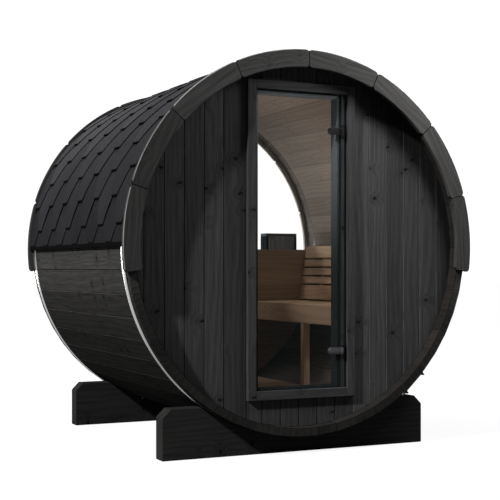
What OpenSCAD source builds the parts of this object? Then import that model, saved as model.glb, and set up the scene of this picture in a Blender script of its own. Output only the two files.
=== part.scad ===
// Barrel sauna: a round cabin of staves on two cradles, with a glass door, a half-moon rear
// window, a shingled upper half and a pair of benches.
// Millimetres. +Z is up, the front faces -Y, and the origin is on the ground under the middle.

/* [Barrel] */
// Length of the staves
barrel_length = 1760; // [1500:10:2400]
// Outer radius of the barrel, at the corners of the staves
stave_radius = 1004; // [990:1:1080]
// Thickness of a stave
stave_thickness = 44; // [36:1:50]
// Number of staves, in ten panels
stave_count = 50; // [40:10:60]
// Height of the barrel's underside above the ground
ground_clearance = 91; // [70:1:130]

/* [End walls] */
// Distance from the stave ends to the outer face of an end wall
wall_inset = 72; // [60:1:110]
// Thickness of an end wall
wall_thickness = 40; // [32:1:46]
// Height of the rear window's sill above the barrel's axis
window_sill_rise = 8; // [-60:1:80]
// Height of the rail under the rear window
window_rail_height = 34; // [24:1:60]
// How far the rail under the rear window stands out of the wall on each side
window_rail_lip = 5; // [2:1:12]
// Thickness of the glass in the rear window
window_glass = 8; // [6:1:10]

/* [Door] */
// Clear width between the door frame's two posts
opening_width = 546; // [500:1:580]
// Height of the front wall left above the upper corners of the door frame
head_margin = 35; // [10:1:120]
// Width of the door frame's face
frame_face = 48; // [36:1:54]
// Depth of the door frame, front to back
frame_depth = 92; // [86:1:120]
// How far the door frame stands out of the front wall
frame_proud = 22; // [10:1:30]
// Height of the door frame's foot above the barrel's underside
door_rise = 195; // [186:1:216]
// Thickness of the glass leaf
door_glass_thickness = 8; // [6:1:10]
// How far the glass lies behind the face of the frame
glass_set_back = 12; // [10:1:18]
// Gap between the edges of the glass and the frame
glass_gap = 6; // [5:0.5:8]
// Width of the post that carries the hinges, beside the glass
hinge_post_width = 30; // [28:1:40]
// How far the stops reach over the edge of the glass
stop_overlap = 14; // [10:1:20]
// Gap between the glass and the stops behind it
stop_gap = 5; // [5:0.5:8]

/* [Hinges] */
// Height of the lower hinge above the threshold
lower_hinge_height = 197; // [120:1:400]
// Distance from the upper hinge to the head
upper_hinge_drop = 199; // [120:1:400]
// Length of a hinge arm, from the pin to its round end
hinge_arm_length = 80; // [60:1:110]
// Height of a hinge arm
hinge_arm_height = 38; // [30:1:44]
// Height of one of a hinge's two ears
hinge_ear_height = 14; // [10:1:20]
// Radius of a hinge knuckle
knuckle_radius = 8; // [7:0.5:8]
// Radius of a hinge pin
pin_radius = 5; // [3:0.5:5.5]
// Running clearance around a hinge pin
pin_clearance = 0.06; // [0.03:0.01:0.1]

/* [Trim] */
// Width of a trim board, across the ring
trim_width = 95; // [80:1:110]
// Thickness of a trim board
trim_thickness = 24; // [18:1:32]
// How far the trim stands out beyond the shingles
trim_lip = 12; // [4:1:25]
// Angle that one trim board covers
trim_board_angle = 24.45; // [20:0.05:27]
// Trim boards on each side of an end
trim_boards = 4; // [3:1:4]
// Size of the notch at the corners where two trim boards meet
trim_notch = 9; // [3:1:16]

/* [Roof] */
// Thickness of the shingles and their underlay
roof_thickness = 12; // [10:1:26]
// Height of a course of shingles, along the curve
course_height = 149.6; // [100:0.1:200]
// Height of the lower edge of the shingles above the barrel's axis
eave_rise = 14; // [0:1:60]
// Height of the strip under the lower edge of the shingles
eave_strip_height = 28; // [16:1:50]
// Thickness of the strip under the lower edge of the shingles
eave_strip_thickness = 16; // [10:1:26]

/* [Bands] */
// Width of a steel band
band_width = 40; // [25:1:55]
// Thickness of a steel band
band_thickness = 1.5; // [1:0.1:3]
// Distance from the stave ends to a band
band_inset = 42; // [20:1:60]
// Angle of the band tightener below the horizontal
tightener_angle = 47; // [35:1:55]
// Distance between the two lugs of a tightener
lug_spacing = 143; // [100:1:180]
// Height of a tightener lug
lug_height = 38; // [28:1:50]
// Thickness of a tightener lug
lug_thickness = 8; // [5:1:12]
// Radius of the tightener's bolt
bolt_radius = 4; // [3:0.5:5]
// How far the bolt reaches past the lugs
bolt_overrun = 26; // [15:1:40]

/* [Cradles] */
// Length of a cradle, across the barrel
cradle_length = 1560; // [1400:5:1800]
// Height of a cradle at its ends
cradle_height = 262; // [220:1:300]
// Thickness of a cradle, along the barrel
cradle_thickness = 90; // [60:1:110]
// Distance from the stave ends to a cradle
cradle_inset = 96; // [90:1:300]
// Size of the chamfer on a cradle's upper corners
cradle_chamfer = 45; // [20:1:70]

/* [Cabin] */
// Height of the floor above the barrel's underside
floor_rise = 177; // [171:1:181]
// Gap between the edges of the floor and the staves
floor_margin = 20; // [3:1:60]
// Number of floor boards
floor_boards_count = 6; // [4:1:8]
// Thickness of a floor board
floor_board_thickness = 26; // [20:1:28]
// Height of a floor bearer
bearer_height = 44; // [36:1:54]
// Distance from the stave ends to the middle of an outer floor bearer
bearer_inset = 280; // [200:5:500]
// Distance from the stave ends to the middle of a backrest batten
batten_inset = 360; // [200:5:500]
// Width of a floor bearer, a bench leg and a backrest batten
batten_width = 42; // [30:1:60]
// Height of the bench above the floor
bench_height = 489; // [420:1:540]
// Distance from the edge of the floor to the front of a bench
bench_floor_gap = 25; // [5:1:80]
// Height of the board along the front of a bench
bench_front_height = 116; // [60:1:140]
// Thickness of a bench board
bench_board_thickness = 26; // [20:1:32]
// Number of boards in a seat
seat_boards_count = 4; // [3:1:5]
// Space between the face of a backrest and the staves, at its foot and at its top
backrest_space = 77; // [45:1:100]
// Height of the lowest slat of a backrest
low_slat_height = 95; // [60:1:110]
// Height of a middle slat of a backrest
mid_slat_height = 46; // [35:1:55]
// Height of the top slat of a backrest
top_slat_height = 80; // [46:1:90]
// Number of middle slats in a backrest
mid_slats = 3; // [2:1:3]
// Thickness of a backrest slat
slat_thickness = 24; // [18:1:28]

/* [Rear box] */
// Width of the box on the back of the rear wall
box_width = 234; // [160:1:260]
// Depth of the box
box_depth = 88; // [50:1:95]
// Height of the box
box_height = 250; // [180:1:320]
// How far the box stands above the window's sill
box_rise = 112; // [60:1:140]
// Distance from the outer side of the box to the staves, at its top
box_margin = 118; // [60:1:300]

/* [Hidden] */
$fn = 240;

// Clearance between pieces that are fastened together
seat = 0.3;
// Gap between boards that lie side by side
board_gap = 8;
// Far enough to cut right through the barrel
far = 4 * stave_radius;

// Barrel
axis_height = ground_clearance + stave_radius;
front_y = -barrel_length / 2;
rear_y = barrel_length / 2;
stave_angle = 360 / stave_count;
panel_staves = stave_count / 10;
stave_outer = stave_radius * cos(stave_angle / 2);
stave_inner = stave_outer - stave_thickness;
lining_radius = stave_inner - seat;

// End walls
front_wall_y = front_y + wall_inset;
front_wall_back = front_wall_y + wall_thickness;
rear_wall_y = rear_y - wall_inset - wall_thickness;
rear_wall_back = rear_wall_y + wall_thickness;
sill_z = axis_height + window_sill_rise;
rail_bottom = sill_z - window_rail_height;

// Door frame and glass
frame_width = opening_width + 2 * frame_face;
frame_bottom = ground_clearance + door_rise;
opening_bottom = frame_bottom + frame_face;
frame_top = axis_height + rise(frame_width / 2) - head_margin;
opening_top = frame_top - frame_face;
frame_y = front_wall_y - frame_proud;
frame_back = frame_y + frame_depth;
glass_y = frame_y + glass_set_back;
glass_back = glass_y + door_glass_thickness;
hinge_x = opening_width / 2 - hinge_post_width;
glass_left = -opening_width / 2 + glass_gap;
glass_right = hinge_x - glass_gap;
glass_bottom = opening_bottom + glass_gap;
glass_top = opening_top - glass_gap;
stop_y = glass_back + stop_gap;
stop_left = glass_left + stop_overlap;
stop_right = glass_right - stop_overlap;

// Hinges
hinge_y = glass_y - knuckle_radius;
hinge_heights = [opening_bottom + lower_hinge_height, opening_top - upper_hinge_drop];
hinge_slack = 0.5;
hinge_half = hinge_arm_height / 2 + hinge_slack + hinge_ear_height;
bore_radius = pin_radius + pin_clearance;
arm_front = 3;
clamp_thickness = 4;
plate_thickness = 3.5;
plate_gap = 1.5;

// Bands, roof and trim, from the staves outwards
band_inner = stave_radius + seat;
band_outer = band_inner + band_thickness;
roof_inner = band_outer + seat;
roof_outer = roof_inner + roof_thickness;
trim_outer = roof_outer + trim_lip;
trim_inner = trim_outer - trim_width;
front_trim_y = front_y - seat - trim_thickness;
rear_trim_y = rear_y + seat;
// Half the angle of the joint between two boards of the ring, or two courses of shingles
joint = seat / trim_outer * 180 / PI;
eave_z = axis_height + eave_rise;
eave_angle = asin(eave_rise / roof_outer);
course_angle = course_height / roof_outer * 180 / PI;
band_starts = [front_y + band_inset, rear_y - band_inset - band_width];
lug_offset = lug_spacing / 2;
lug_edge = lug_offset - lug_thickness / 2;
lug_foot = sqrt(band_outer * band_outer - lug_edge * lug_edge) + seat;
bolt_line = lug_foot + lug_height - 2 * bolt_radius;
bolt_play = 0.3;
hex_radius = 1.8 * bolt_radius;
hex_height = 1.6 * bolt_radius;

// Floor and benches
cabin_front = front_wall_back + seat;
cabin_rear = rear_wall_y - seat;
floor_z = ground_clearance + floor_rise;
floor_underside = floor_z - floor_board_thickness;
floor_width = 2 * (chord(floor_underside) - floor_margin);
floor_board_width = (floor_width + board_gap) / floor_boards_count - board_gap;
bearer_places = [front_y + bearer_inset, 0, rear_y - bearer_inset];
bench_z = floor_z + bench_height;
bench_front = floor_width / 2 + bench_floor_gap;
bench_bottom = bench_z - bench_front_height;
seat_underside = bench_z - bench_board_thickness;
seat_start = bench_front + bench_board_thickness + seat;
seat_end = chord(seat_underside);
seat_board_width = (seat_end - seat_start + board_gap) / seat_boards_count - board_gap;
slat_gap = 12;
backrest_foot_z = bench_z + slat_gap;
slat_heights = concat([low_slat_height], [for (i = [1:mid_slats]) mid_slat_height], [top_slat_height]);
backrest_height = sum(slat_heights) + slat_gap * (len(slat_heights) - 1);
batten_places = [front_y + batten_inset, rear_y - batten_inset];
backrest_rear = cabin_rear - window_rail_lip;
backrest_foot = chord(backrest_foot_z) - backrest_space;
backrest_top = chord(backrest_foot_z + backrest_height) - backrest_space;
backrest_lean = asin((backrest_top - backrest_foot) / backrest_height);

// Height of the cabin's lining above the axis at a distance from the middle
function rise(x) = sqrt(lining_radius * lining_radius - x * x);
// Half the width of the cabin at a height above the ground
function chord(z) = sqrt(lining_radius * lining_radius - (z - axis_height) * (z - axis_height));
function sum(list, n = 0) = n < len(list) ? list[n] + sum(list, n + 1) : 0;

// A flat outline in X and Z, carried along Y from one place to another
module along_y(from, to) {
    translate([0, to, 0]) rotate([90, 0, 0]) linear_extrude(to - from) children();
}

// A box between two corners
module block(low, high) {
    translate(low) cube(high - low);
}

// A disc around the barrel's axis
module disc(radius) {
    translate([0, axis_height]) circle(radius);
}

// The outline of the cabin between two heights and two distances from the middle
module cabin_part(left, right, bottom, top) {
    intersection() {
        disc(lining_radius);
        translate([left, bottom]) square([right - left, top - bottom]);
    }
}

// A piece of a ring around the barrel's axis, between two angles
module ring_part(inner, outer, from, to) {
    reach = 2 * outer;
    translate([0, axis_height]) intersection() {
        difference() {
            circle(outer);
            circle(inner);
        }
        polygon([[0, 0], [reach * cos(from), reach * sin(from)], [reach * cos(to), reach * sin(to)]]);
    }
}

// The same piece on the right and on the left
module both_sides() {
    children();
    mirror([1, 0, 0]) children();
}

// One stave, a flat board with bevelled edges, counted from the right-hand side
module stave(index) {
    side = tan(stave_angle / 2);
    outer_half = stave_outer * side - seat / 2;
    inner_half = stave_inner * side - seat / 2;
    along_y(front_y, rear_y)
        translate([0, axis_height]) rotate((index + 0.5) * stave_angle)
            polygon([[stave_outer, -outer_half], [stave_outer, outer_half],
                     [stave_inner, inner_half], [stave_inner, -inner_half]]);
}

// A tenth of the barrel, as separate staves
module stave_panel(number) {
    color("#2b2a29")
        for (i = [0:panel_staves - 1]) stave((number - 3) * panel_staves + i);
}

module staves_bottom() { stave_panel(0); }
module staves_right_low() { stave_panel(1); }
module staves_right_side() { stave_panel(2); }
module staves_right_high() { stave_panel(3); }
module staves_right_top() { stave_panel(4); }
module staves_top() { stave_panel(5); }
module staves_left_top() { stave_panel(6); }
module staves_left_high() { stave_panel(7); }
module staves_left_side() { stave_panel(8); }
module staves_left_low() { stave_panel(9); }

// Front wall, split around the door frame
module front_wall_side(left, right) {
    color("#2f2e2d") along_y(front_wall_y, front_wall_back) cabin_part(left, right, 0, far);
}

module front_wall_left() { front_wall_side(-far, -frame_width / 2 - seat); }
module front_wall_right() { front_wall_side(frame_width / 2 + seat, far); }

module front_wall_over_door() {
    color("#2f2e2d") along_y(front_wall_y, front_wall_back)
        cabin_part(-frame_width / 2, frame_width / 2, frame_top + seat, far);
}

module front_wall_under_door() {
    color("#2f2e2d") along_y(front_wall_y, front_wall_back)
        cabin_part(-frame_width / 2, frame_width / 2, 0, frame_bottom - seat);
}

// Door frame
module door_post() {
    color("#333231")
        block([opening_width / 2, frame_y, frame_bottom], [frame_width / 2, frame_back, frame_top]);
}

module door_post_left() { mirror([1, 0, 0]) door_post(); }
module door_post_right() { door_post(); }

module door_rail(bottom) {
    half = opening_width / 2 - seat;
    color("#333231") block([-half, frame_y, bottom], [half, frame_back, bottom + frame_face]);
}

module door_head() { door_rail(opening_top); }
module door_threshold() { door_rail(frame_bottom); }

// Stops behind the glass: two uprights, and a short piece at the top and the bottom
module door_stops() {
    low = opening_bottom + seat;
    high = opening_top - seat;
    color("#343434") {
        block([-opening_width / 2 + seat, stop_y, low], [stop_left, frame_back, high]);
        block([stop_right, stop_y, low], [opening_width / 2 - seat, frame_back, high]);
        for (z = [[low, glass_bottom + stop_overlap / 2], [glass_top - stop_overlap, high]])
            block([stop_left + seat, stop_y, z[0]], [stop_right - seat, frame_back, z[1]]);
    }
}

// Post beside the glass that the hinges are screwed to
module hinge_post() {
    color("#3a3a3a")
        block([hinge_x, glass_y + hinge_slack, opening_bottom + seat],
              [opening_width / 2 - seat, stop_y - seat, opening_top - seat]);
}

// Fixed half of a hinge: a plate on the post and two ears around the pin
module hinge_bracket(z) {
    plate_back = glass_y + hinge_slack - seat;
    plate_left = hinge_x + knuckle_radius + plate_gap;
    translate([0, 0, z]) {
        block([plate_left, plate_back - plate_thickness, -hinge_half],
              [opening_width / 2 - plate_gap, plate_back, hinge_half]);
        for (end = [-hinge_half, hinge_half - hinge_ear_height])
            difference() {
                union() {
                    translate([hinge_x, hinge_y, end]) cylinder(h = hinge_ear_height, r = knuckle_radius);
                    block([hinge_x, plate_back - plate_thickness, end],
                          [plate_left + plate_thickness, plate_back, end + hinge_ear_height]);
                }
                translate([hinge_x, hinge_y, end - 1]) cylinder(h = hinge_ear_height + 2, r = bore_radius);
            }
    }
}

module hinge_brackets() {
    color("#161616") for (z = hinge_heights) hinge_bracket(z);
}

// Glass leaf of the door
module door_glass() {
    color("#6b5f55", 0.5)
        block([glass_left, glass_y, glass_bottom], [glass_right, glass_back, glass_top]);
}

// Moving half of a hinge: the pin, its knuckle, and an arm that grips the glass
module hinge_arm(z) {
    half = hinge_arm_height / 2;
    grip = hinge_x - hinge_arm_length + half;
    translate([0, 0, z]) {
        translate([hinge_x, hinge_y, -half]) cylinder(h = hinge_arm_height, r = knuckle_radius);
        translate([hinge_x, hinge_y, -hinge_half]) cylinder(h = 2 * hinge_half, r = pin_radius);
        along_y(hinge_y + arm_front, glass_y - seat) {
            translate([grip, 0]) circle(half);
            translate([grip, -half]) square([hinge_x - grip, hinge_arm_height]);
        }
        along_y(glass_back + seat, glass_back + seat + clamp_thickness)
            translate([grip, 0]) circle(half);
    }
}

module hinge_arms() {
    color("#161616") for (z = hinge_heights) hinge_arm(z);
}

// Rear wall up to the window
module rear_wall() {
    color("#2f2e2d") along_y(rear_wall_y, rear_wall_back)
        cabin_part(-far, far, 0, rail_bottom - seat);
}

module rear_window_rail() {
    color("#3a2c22") along_y(rear_wall_y - window_rail_lip, rear_wall_back + window_rail_lip)
        cabin_part(-far, far, rail_bottom, sill_z);
}

module rear_window_glass() {
    middle = rear_wall_y + wall_thickness / 2;
    color("#8a8f90", 0.4) along_y(middle - window_glass / 2, middle + window_glass / 2)
        cabin_part(-far, far, sill_z + seat, far);
}

// Dark box on the back of the rear wall
module rear_box() {
    front = rear_wall_back + window_rail_lip + seat;
    top = sill_z + box_rise;
    side = chord(top) - box_margin;
    color("#1c1b1a")
        block([side - box_width, front, top - box_height], [side, front + box_depth, top]);
}

// Curved trim boards from the top of an end down to just below its middle
module trim_side(from) {
    color("#3b3a39") along_y(from, from + trim_thickness) difference() {
        for (i = [0:trim_boards - 1])
            ring_part(trim_inner, trim_outer,
                      90 - (i + 1) * trim_board_angle + joint, 90 - i * trim_board_angle - joint);
        for (i = [0:trim_boards - 1], radius = [trim_inner, trim_outer])
            translate([0, axis_height]) rotate(90 - i * trim_board_angle)
                translate([radius, 0]) rotate(45) square(sqrt(2) * trim_notch, center = true);
    }
}

module front_trim_right() { trim_side(front_trim_y); }
module front_trim_left() { mirror([1, 0, 0]) trim_side(front_trim_y); }
module rear_trim_right() { trim_side(rear_trim_y); }
module rear_trim_left() { mirror([1, 0, 0]) trim_side(rear_trim_y); }

// Courses of shingles from the top down to the eave, with a part course at the bottom
module roof_side() {
    color("#302f2f") along_y(front_y, rear_y)
        for (top = [90 - joint:-course_angle:eave_angle + joint])
            ring_part(roof_inner, roof_outer, max(top - course_angle + 2 * joint, eave_angle), top);
}

module roof_right() { roof_side(); }
module roof_left() { mirror([1, 0, 0]) roof_side(); }

// Straight strip under the lower edge of the shingles
module eave_strips() {
    color("#0d0d0d") both_sides()
        block([roof_inner, front_y, eave_z - seat - eave_strip_height],
              [roof_inner + eave_strip_thickness, rear_y, eave_z - seat]);
}

// Steel bands around the staves
module steel_bands() {
    color("#c9c9c9") for (start = band_starts)
        along_y(start, start + band_width) difference() {
            disc(band_outer);
            disc(band_inner);
        }
}

// Places its children on a band, with X pointing away from the barrel and Z along the band
module at_tighteners() {
    for (start = band_starts)
        translate([0, start + band_width / 2, axis_height]) rotate([0, tightener_angle, 0]) children();
}

// Two lugs that stand on a band, drilled for the bolt
module tightener_lugs() {
    color("#1a1a1a") at_tighteners() for (side = [-1, 1]) difference() {
        translate([lug_foot, -band_width / 2, side * lug_offset - lug_thickness / 2])
            cube([lug_height, band_width, lug_thickness]);
        translate([bolt_line, 0, side * lug_offset - lug_thickness])
            cylinder(h = 2 * lug_thickness, r = bolt_radius + bolt_play);
    }
}

// The bolt that draws the two lugs together, with its head and nut
module tightener_bolts() {
    outer_face = lug_offset + lug_thickness / 2 + seat;
    color("#c9c9c9") at_tighteners() translate([bolt_line, 0, 0]) {
        translate([0, 0, -outer_face - bolt_overrun])
            cylinder(h = 2 * outer_face + bolt_overrun, r = bolt_radius);
        for (z = [-outer_face - hex_height, outer_face])
            translate([0, 0, z]) cylinder(h = hex_height, r = hex_radius, $fn = 6);
    }
}

// A cradle: one thick board with the barrel's curve cut out of it
module cradle(from) {
    half = cradle_length / 2;
    shoulder = half - cradle_chamfer;
    cheek = cradle_height - cradle_chamfer;
    color("#232323") along_y(from, from + cradle_thickness) difference() {
        polygon([[-half, 0], [half, 0], [half, cheek], [shoulder, cradle_height],
                 [-shoulder, cradle_height], [-half, cheek]]);
        disc(stave_radius + seat);
    }
}

module cradle_front() { cradle(front_y + cradle_inset); }
module cradle_rear() { cradle(rear_y - cradle_inset - cradle_thickness); }

// Floor
module floor_boards() {
    pitch = floor_board_width + board_gap;
    color("#7a5a3c") for (i = [0:floor_boards_count - 1])
        translate([-floor_width / 2 + i * pitch, cabin_front, floor_underside])
            cube([floor_board_width, cabin_rear - cabin_front, floor_board_thickness]);
}

module floor_bearers() {
    top = floor_underside - seat;
    color("#6b4f35") for (y = bearer_places)
        along_y(y - batten_width / 2, y + batten_width / 2) cabin_part(-far, far, top - bearer_height, top);
}

// Benches, one along each side
module bench_seats() {
    pitch = seat_board_width + board_gap;
    color("#8a6644") both_sides() for (i = [0:seat_boards_count - 1])
        translate([seat_start + i * pitch, cabin_front, seat_underside])
            cube([seat_board_width, cabin_rear - cabin_front, bench_board_thickness]);
}

module bench_fronts() {
    color("#8a6644") both_sides()
        block([bench_front, cabin_front, bench_bottom],
              [bench_front + bench_board_thickness, cabin_rear, bench_z]);
}

module bench_legs() {
    left = bench_front;
    color("#7d5b3c") both_sides() along_y(-batten_width / 2, batten_width / 2)
        cabin_part(left, left + batten_width, 0, bench_bottom - seat);
}

// Places a flat outline on the slope of a backrest, with Y up the slope and X away from the cabin
module on_backrest() {
    translate([backrest_foot, backrest_foot_z]) rotate(-backrest_lean) children();
}

module backrest_slats() {
    color("#8a6644") both_sides() along_y(cabin_front, backrest_rear) on_backrest()
        for (i = [0:len(slat_heights) - 1])
            translate([0, i > 0 ? sum([for (k = [0:i - 1]) slat_heights[k] + slat_gap]) : 0])
                square([slat_thickness, slat_heights[i]]);
}

// Upright battens between the slats and the staves
module backrest_battens() {
    color("#7d5b3c") both_sides() for (y = batten_places)
        along_y(y - batten_width / 2, y + batten_width / 2) intersection() {
            disc(lining_radius);
            on_backrest() translate([slat_thickness + seat, 0]) square([far, backrest_height]);
        }
}

staves_bottom();
staves_right_low();
staves_right_side();
staves_right_high();
staves_right_top();
staves_top();
staves_left_top();
staves_left_high();
staves_left_side();
staves_left_low();
front_wall_left();
front_wall_right();
front_wall_over_door();
front_wall_under_door();
door_post_left();
door_post_right();
door_head();
door_threshold();
door_stops();
hinge_post();
hinge_brackets();
door_glass();
hinge_arms();
rear_wall();
rear_window_rail();
rear_window_glass();
rear_box();
front_trim_left();
front_trim_right();
rear_trim_left();
rear_trim_right();
roof_left();
roof_right();
eave_strips();
steel_bands();
tightener_lugs();
tightener_bolts();
cradle_front();
cradle_rear();
floor_boards();
floor_bearers();
bench_seats();
bench_fronts();
bench_legs();
backrest_slats();
backrest_battens();
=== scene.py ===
"""Barrel sauna: boards, shingles, glass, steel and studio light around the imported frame."""

import math
from collections import namedtuple

import bpy
import numpy as np
from bpy.props import FloatProperty, FloatVectorProperty, IntProperty, PointerProperty
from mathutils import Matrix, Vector


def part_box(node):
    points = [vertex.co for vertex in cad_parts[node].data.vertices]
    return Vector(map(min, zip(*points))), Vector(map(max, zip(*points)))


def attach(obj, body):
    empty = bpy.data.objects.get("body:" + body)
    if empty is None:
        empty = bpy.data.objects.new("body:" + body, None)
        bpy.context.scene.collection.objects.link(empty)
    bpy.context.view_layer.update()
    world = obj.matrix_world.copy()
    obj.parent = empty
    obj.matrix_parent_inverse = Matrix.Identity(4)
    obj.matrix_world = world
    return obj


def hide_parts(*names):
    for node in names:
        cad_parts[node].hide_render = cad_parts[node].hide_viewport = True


bl_info = {
    "name": "Barrel sauna",
    "version": (1, 0, 0),
    "blender": (4, 5, 0),
    "location": "3D View > Sidebar > Sauna",
    "description": "Dresses the frame of a barrel sauna with boards, shingles, glass and steel",
    "category": "Add Mesh",
}

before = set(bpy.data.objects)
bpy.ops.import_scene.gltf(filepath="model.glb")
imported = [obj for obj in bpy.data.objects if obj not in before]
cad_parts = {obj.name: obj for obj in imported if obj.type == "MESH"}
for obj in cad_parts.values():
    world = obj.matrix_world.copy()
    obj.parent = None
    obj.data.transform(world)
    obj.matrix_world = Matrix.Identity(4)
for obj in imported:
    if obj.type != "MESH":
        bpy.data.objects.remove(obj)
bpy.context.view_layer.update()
PANELS = ("bottom", "right_low", "right_side", "right_high", "right_top",
          "top", "left_top", "left_high", "left_side", "left_low")
SIDES = ((1.0, "right"), (-1.0, "left"))

# The CAD's space between two solids, then the edges of curved ends, of thin strips and of sawn boards
CLEAR, FINE, KEEN, SAWN = 0.0003, 0.0006, 0.001, 0.0015


def length(name, description, default):
    """A size in metres that a user can change."""
    return FloatProperty(name=name, description=description, default=default, unit="LENGTH", precision=4)


def number(name, description, default):
    """A count that a user can change."""
    return IntProperty(name=name, description=description, default=default, min=1)


def colour(name, description, default):
    """A colour that a user can change."""
    return FloatVectorProperty(name=name, description=description, default=default,
                               subtype="COLOR", size=3, min=0.0, max=1.0)


class SaunaSizes(bpy.types.PropertyGroup):
    """Sizes of the barrel and of the boards and shingles on it."""
    axis_height: length("Axis height", "Height of the barrel's axis above the ground", 1.095)
    stave_outer: length("Stave outside", "Distance from the axis to the outer face of a stave", 1.00202)
    stave_inner: length("Stave inside", "Distance from the axis to the inner face of a stave", 0.95802)
    lining: length("Lining radius", "Radius that everything inside the barrel is cut to", 0.95772)
    stave_count: number("Staves", "Number of staves around the barrel", 50)
    groove: length("Groove", "Rounding of the edges where two boards meet", 0.004)
    wall_board: length("Wall board", "Width of a board of the front wall", 0.1094)
    wall_start: length("Wall start", "Place of one seam of the front wall", -0.4502)
    rear_boards: number("Rear boards", "Number of boards in the rear wall", 9)
    edge: length("Arris", "Rounding of the edges of planed timber", 0.0025)
    glass_lap: length("Glass lap", "Width of the stops that the glass covers", 0.014)
    box_board: length("Box board", "Thickness of the boards of the rear box", 0.018)
    box_lid: length("Box lid", "Thickness of the lid of the rear box", 0.02)
    trim_inner: length("Trim inside", "Inner radius of the trim", 0.9351)
    trim_outer: length("Trim outside", "Outer radius of the trim", 1.0301)
    trim_angle: FloatProperty(name="Trim board", description="Angle that one trim board covers",
                              default=math.radians(24.45), subtype="ANGLE")
    trim_arris: length("Trim arris", "Rounding of the long edges of the trim", 0.004)
    notch_width: length("Notch width", "Width that a trim board gives to the notch beside it", 0.0145)
    notch_depth: length("Notch depth", "Depth of the notch between two trim boards", 0.0105)
    roof_outer: length("Roof outside", "Radius at the lower edge of a shingle", 1.0181)
    roof_inner: length("Roof inside", "Radius of the underside of the shingles", 1.0061)
    course: length("Course", "Height of a course of shingles along the curve", 0.1496)
    first_course: length("First course", "Height of the lowest row of tab edges above the axis", 0.104)
    eave: length("Eave", "Height of the lower edge of the shingles above the axis", 0.0141)
    tab_pitch: length("Tab pitch", "Distance between the middles of two tabs", 0.29333)
    tab_flat: length("Tab flat", "Length of the flat lower edge of a tab", 0.08)
    tab_start: length("Tab start", "Place of the first tab of the first row", -0.782)
    shingle: length("Shingle", "Thickness of a shingle", 0.005)
    ridge_caps: number("Ridge caps", "Number of cap shingles along the ridge", 8)
    cap_half: length("Cap half", "Half the width of a cap shingle", 0.11)
    cap_lap: length("Cap lap", "Length of a cap that lies over the next", 0.06)
    band_radius: length("Band radius", "Inner radius of a steel band", 1.0043)
    band_thickness: length("Band thickness", "Thickness of a steel band", 0.0015)
    band_width: length("Band width", "Width of a steel band", 0.04)
    cradle_arc: length("Cradle arc", "Radius of the hollow in a cradle", 1.0043)
    cradle_chamfer: length("Cradle chamfer", "Chamfer on the upper corners of a cradle", 0.045)
    cradle_arris: length("Cradle arris", "Rounding of the edges of a cradle", 0.004)
    board_gap: length("Board gap", "Gap between boards that lie side by side", 0.008)
    floor_boards: number("Floor boards", "Number of floor boards", 6)
    seat_boards: number("Seat boards", "Number of boards in a seat", 4)
    seat_arris: length("Seat arris", "Rounding of the edges of the benches", 0.0035)
    batten: length("Batten", "Width of bearers, legs and battens", 0.042)
    batten_place: length("Batten place", "Distance of a backrest's batten from its middle", 0.52)
    backrest_foot: length("Backrest foot", "Height of the lower edge of a backrest", 0.769)
    backrest_space: length("Backrest space", "Space between a backrest and the staves", 0.077)
    slat_gap: length("Slat gap", "Gap between two slats of a backrest", 0.012)
    slat_thickness: length("Slat thickness", "Thickness of a slat of a backrest", 0.024)
    slat_arris: length("Slat arris", "Rounding of the edges of a slat", 0.004)


class SaunaColours(bpy.types.PropertyGroup):
    """Colours of the finishes."""
    stain: colour("Stain", "Black stain on the staves", (0.046, 0.045, 0.043))
    wall_stain: colour("Wall stain", "Black stain on the end walls", (0.050, 0.050, 0.051))
    frame_stain: colour("Frame stain", "Black stain on the door frame", (0.044, 0.044, 0.045))
    trim_stain: colour("Trim stain", "Grey-black stain on the trim", (0.055, 0.054, 0.053))
    overhang: colour("Overhang", "Thin brown-grey stain inside the overhangs", (0.03, 0.027, 0.0245))
    cabin: colour("Cabin wood", "Bare wood inside the cabin", (0.78, 0.60, 0.43))
    lining: colour("Lining", "Bare inner faces of the staves", (0.74, 0.66, 0.59))
    # painted shade: the end walls' bare wood is the cabin's wood darkened
    rear: colour("End walls", "Bare inner faces of the end walls", (0.40, 0.325, 0.255))
    floor: colour("Floor", "Worn floor boards", (0.6, 0.46, 0.35))
    shingle: colour("Shingles", "Mineral granules on the shingles", (0.0345, 0.034, 0.037))
    steel: colour("Steel", "Steel of the bands and bolts", (0.52, 0.52, 0.53))
    coating: colour("Coating", "Black coating on the hinges and lugs", (0.012, 0.012, 0.013))
    eave: colour("Eave strip", "Black strip under the shingles", (0.006, 0.006, 0.006))
    cradle: colour("Cradle stain", "Black stain on the cradles", (0.026, 0.0255, 0.025))
    # partly painted light: this stain is set much lighter than the black it stands for
    box: colour("Box stain", "Black stain on the rear box", (0.1, 0.11, 0.127))
    seal: colour("Seal", "Grey seal on the stops behind the glass", (0.135, 0.147, 0.155))
    glass: colour("Glass", "Tint of the glass", (0.055, 0.1, 0.11))
    glass_edge: colour("Glass edge", "Dark edges of the glass", (0.012, 0.022, 0.022))


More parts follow.
